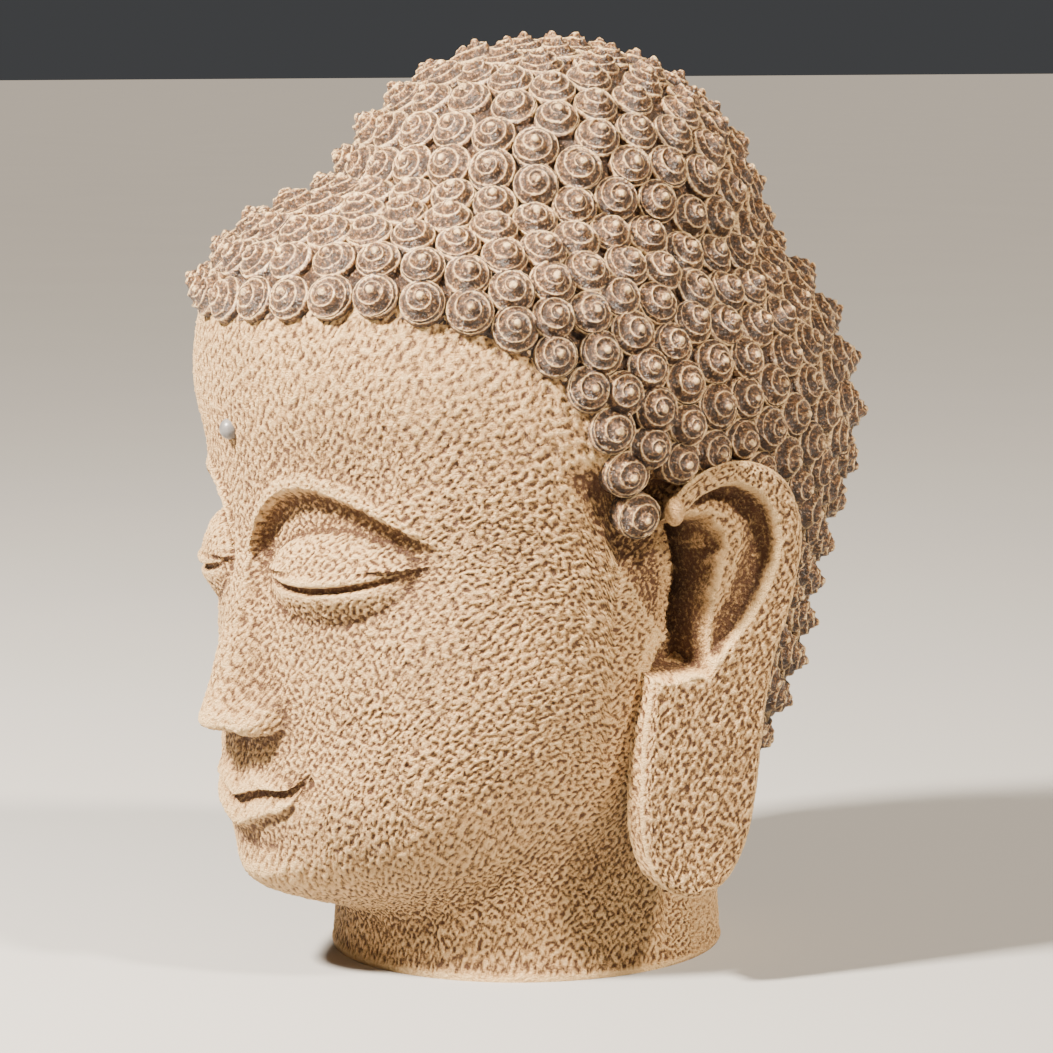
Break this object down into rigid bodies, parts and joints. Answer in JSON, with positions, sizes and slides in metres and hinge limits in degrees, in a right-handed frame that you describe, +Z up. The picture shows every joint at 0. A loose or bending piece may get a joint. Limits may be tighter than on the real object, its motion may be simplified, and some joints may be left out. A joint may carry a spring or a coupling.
{
  "type": "buddha head statue",
  "caption": "Decorative head of a serene figure with snail-shell curls, a hair bun, long ear lobes and a forehead bead, cut flat below the neck to stand by its own weight.",
  "frame": {"origin": "middle of the flat underside of the neck, on the ground", "axes": "+Z up; the face looks along -Y; the figure's left ear is on the +X side"},
  "size_m": [0.3418, 0.3977, 0.4994],
  "materials": {
    "cast_stone": "matte sand-coloured cast stone resin with a hammered skin",
    "bead": "smooth, slightly glossy grey"
  },
  "bodies": {
    "root": {"head": "cast_stone", "urna_bead": "bead"}
  },
  "joints": []
}
